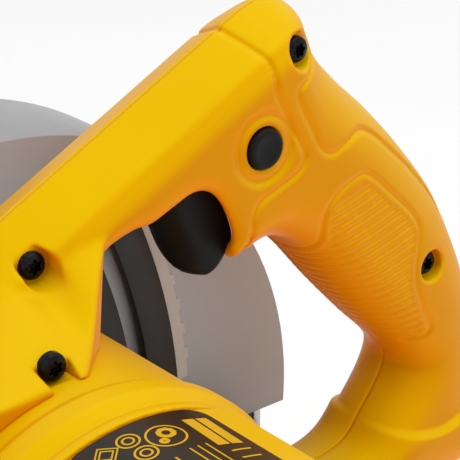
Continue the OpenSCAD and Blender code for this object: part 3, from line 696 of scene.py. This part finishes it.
def flat_mesh(name, outlines, lift):
    """Outlines laid round the end cap as one mesh that faces outwards."""
    bm = bmesh.new()
    for outline in outlines:
        wrapped(bm, outline, lift)
    for face in bm.faces:
        centre = face.calc_center_median() / MM
        away = Vector((centre.x - MOTOR_X, 0, centre.z - MOTOR_Z))
        if face.normal.dot(away) < 0:
            face.normal_flip()
        face.smooth = True
    mesh = bpy.data.meshes.new(name)
    bm.to_mesh(mesh)
    bm.free()
    return mesh


def rating_label():
    """A dark film with plain generic marks: bars, rings and a nested square."""
    film = flat_mesh("label_film", [rounded_rect(67.0, 110.0, 62.8, 95.5, 4.5)], 0.30)
    link("label_film", film, LABEL, "housing", ["rating_label"])
    marks = [[(100.2, 67.6), (103.6, 67.9), (102.9, 81.3), (99.5, 81.0)],
             [(104.3, 67.9), (107.6, 68.1), (106.9, 81.6), (103.5, 81.3)]]
    marks += ring_outline(91.8, 71.8, 4.6, 4.1)
    marks += ring_outline(92.6, 70.8, 2.3, 1.0, 0.3, 9)
    marks += ring_outline(89.9, 73.4, 1.2, 0.2, 0.0, 12)
    marks += ring_outline(83.4, 68.2, 2.7, 2.2) + ring_outline(83.4, 68.2, 1.5, 1.0)
    marks += ring_outline(83.6, 74.4, 2.7, 2.2) + ring_outline(83.6, 74.4, 1.5, 1.0)
    for size in (3.4, 2.2):
        marks += ring_outline(76.4, 68.6, size, size - 0.55, 0.0, 4)
    for a in (97.0, 94.6, 92.2):
        marks += [[(a, 79.0), (a + 0.5, 79.0), (a + 0.5, 92.5), (a, 92.5)]]
    for a in (87.0, 84.6):
        marks += [[(a, 80.0), (a + 0.5, 80.0), (a + 0.5, 90.0), (a, 90.0)]]
    for y in (84.0, 87.5):
        marks += [[(100.5, y), (106.5, y), (106.5, y + 0.6), (100.5, y + 0.6)]]
    link("label_marks", flat_mesh("label_marks", marks, 0.36), PRINT, "housing",
         ["rating_label"])


motor_housing()
end_cap()
rating_label()


# ---- small moulded parts -------------------------------------------------------------

def screw_heads():
    """Pan heads with a six-lobed recess, each on its shank, standing for the handle screws."""
    step = 0.12
    lo = np.array([-3.96, -1.2, -3.96])
    ax, ay, az = axes(lo, (3.96, 3.0, 3.96), step)
    x, y, z = ax[:, None, None], ay[None, :, None], az[None, None, :]
    r = np.hypot(x, z)
    angle = np.arctan2(z, x)
    dome = y - (2.45 - 0.075 * r * r)
    f = smax(smax(r - 3.5, dome, 0.7), -0.6 - y, 0.2)
    lobe = r - (1.62 + 0.34 * np.cos(6 * angle))
    f = smax(f, -smax(lobe, 0.7 - y, 0.2), 0.2)
    head = field_mesh("head", f, lo, step)
    shank = 1.75
    bm = bmesh.new()
    for k, (px, py, pz) in enumerate(SIDE_SCREWS + [(FOOT_SCREW[0], FOOT_SEAT, FOOT_SCREW[1])]):
        one = head.copy()
        one.transform(Matrix.Translation(Vector((px, py, pz)) * MM)
                      @ Matrix.Rotation(0.5 + 0.7 * k, 4, "Y"))
        bm.from_mesh(one)
        bmesh.ops.create_cone(bm, cap_ends=True, segments=24, radius1=shank * MM,
                              radius2=shank * MM, depth=11.6 * MM,
                              matrix=Matrix.Translation(Vector((px, py - 6.1, pz)) * MM)
                              @ Matrix.Rotation(math.pi / 2, 4, "X"))
    mesh = bpy.data.meshes.new("shell_screws")
    bm.to_mesh(mesh)
    bm.free()
    link("shell_screws", mesh, SCREW, "housing", ["handle_screws"])


def lathe_y(name, profile, x, z, segments=96):
    """A closed (radius, y) profile turned about a line along Y."""
    bm = bmesh.new()
    verts = [bm.verts.new((x + r, y, z)) for r, y in profile]
    edges = [bm.edges.new((a, b)) for a, b in zip(verts, verts[1:])]
    bmesh.ops.spin(bm, geom=verts + edges, cent=(x, 0, z), axis=(0, 1, 0), angle=2 * math.pi,
                   steps=segments, use_duplicate=False)
    bmesh.ops.remove_doubles(bm, verts=bm.verts, dist=1e-4)
    bmesh.ops.scale(bm, vec=(MM, MM, MM), verts=bm.verts)
    return smoothed(bm, name, 40.0)


def button():
    """The lock-off button: one dished pin through both shells."""
    profile = [(0.001, 17.1), (1.6, 17.15), (3.0, 17.35), (3.9, 17.6), (4.7, 17.55), (5.1, 17.25),
               (5.35, 16.8), (5.4, 16.2), (5.4, -17.0), (5.0, -17.4), (0.001, -17.4)]
    link("button", lathe_y("button", profile, *BUTTON), TRIGGER, "lock_off_button",
         ["lock_off_button"])


def trigger():
    """The trigger: its outline in the XZ plane, narrowing towards the front edge."""
    step = 0.5
    lo = np.array([-48.0, -9.5, 95.5])
    ax, ay, az = axes(lo, (-18.0, 9.5, 137.0), step)
    x, z = np.meshgrid(ax, az, indexing="ij")
    front = bend([(-27, 133.5), (-24.5, 127), (-22.5, 121), (-24, 116.5), (-26.4, 111.5),
                  (-28.9, 105.6), (-31.8, 101.0), (-35.0, 98.3)], 6)
    rear = bend([(-38.4, 98.6), (-41.5, 101.8), (-44.4, 105.5), (-45.5, 108.3), (-44.5, 113),
                 (-42.3, 118), (-40.5, 125), (-39, 133.5)], 6)
    d = outline_depth(x, z, np.vstack([front, rear]))
    back = np.clip(path_distance(x, z, front) / 7.0, 0.0, 1.0)
    half = 8.5 * np.sqrt(1.0 - (1.0 - back) ** 2)
    y = ay[None, :, None]
    f = smax(-layer(d), (np.abs(y) - layer(half)) * 0.8, 2.0)
    pin = layer(np.hypot(x - TRIGGER_PIN[0], z - TRIGGER_PIN[1]))
    f = np.maximum(f, TRIGGER_PIN_R - pin)
    link("trigger_body", field_mesh("trigger_body", f, lo, step), TRIGGER, "trigger",
         ["trigger"])


screw_heads()
button()
trigger()


# ---- sheet and machined parts --------------------------------------------------------

for name, width in (("base_plate", 0.5), ("bevel_quadrant", 0.4), ("rear_ear", 0.4),
                    ("fence_bracket", 0.6), ("fence_screw", 0.6), ("tilt_bracket", 0.8),
                    ("depth_strap", 0.3), ("bevel_lever", 1.2), ("depth_lever", 1.2),
                    ("gear_housing", 0.8), ("upper_guard", 0.5), ("dust_port", 0.4),
                    ("lower_guard", 0.4), ("lower_guard_hub", 0.4), ("lower_guard_lever", 0.8),
                    ("spindle_lock", 0.6), ("cable_sleeve", 0.5), ("end_cap_screws", 0.3),
                    ("gear_housing_screws", 0.4), ("blade_bolt", 0.4), ("outer_flange", 0.4),
                    ("inner_flange", 0.3), ("bevel_bolt", 0.3), ("brush_caps", 0.4),
                    ("bevel_pivot_pin", 0.3), ("depth_pivot_pin", 0.3),
                    ("depth_clamp_bolt", 0.3)):
    eased_copy(name, width)


# ---- stage, light, camera ------------------------------------------------------------

def stage():
    """A pale floor under the saw and an even white world."""
    mat, tree, bsdf = new_material("floor")
    tint = ramp(tree, noise(tree, 3.0), [(0.3, (0.93, 0.93, 0.93)), (0.7, (0.95, 0.95, 0.95))])
    tree.links.new(tint, bsdf.inputs["Base Color"])
    bsdf.inputs["Roughness"].default_value = 0.8
    size, low = 6.0, cad_box[0][2] - 0.0005
    mesh = bpy.data.meshes.new("floor")
    mesh.from_pydata([(-size, -size, low), (size, -size, low), (size, size, low),
                      (-size, size, low)], [], [(0, 1, 2, 3)])
    floor = bpy.data.objects.new("floor", mesh)
    bpy.context.scene.collection.objects.link(floor)
    dress(floor, mat)
    world = bpy.data.worlds.new("studio")
    world.use_nodes = True
    world.node_tree.nodes["Background"].inputs["Color"].default_value = (1.0, 1.0, 1.0, 1.0)
    world.node_tree.nodes["Background"].inputs["Strength"].default_value = 0.92
    bpy.context.scene.world = world


def area_light(name, place, aim, size, power):
    """A rectangular lamp turned towards a point."""
    data = bpy.data.lights.new(name, "AREA")
    data.shape = "RECTANGLE"
    data.size, data.size_y = size
    data.energy = power
    lamp = bpy.data.objects.new(name, data)
    lamp.location = place
    lamp.rotation_euler = (Vector(aim) - Vector(place)).to_track_quat("-Z", "Y").to_euler()
    bpy.context.scene.collection.objects.link(lamp)


def camera():
    """A long lens close to the handle, from its left, in front and above."""
    target = Vector((-51.0, 0.0, 106.0)) * MM
    back = Vector((0.5855, 0.7103, 0.3907)).normalized()
    data = bpy.data.cameras.new("camera")
    data.sensor_width = 36.0
    data.lens = 133.04
    cam = bpy.data.objects.new("camera", data)
    cam.location = target + back * 0.450
    cam.rotation_euler = (-back).to_track_quat("-Z", "Y").to_euler()
    bpy.context.scene.collection.objects.link(cam)
    bpy.context.scene.camera = cam


stage()
area_light("key", (-0.25, 0.30, 1.1), (-0.04, 0.0, 0.10), (0.9, 0.9), 3.5)
camera()
bpy.context.scene.view_settings.view_transform = "Standard"
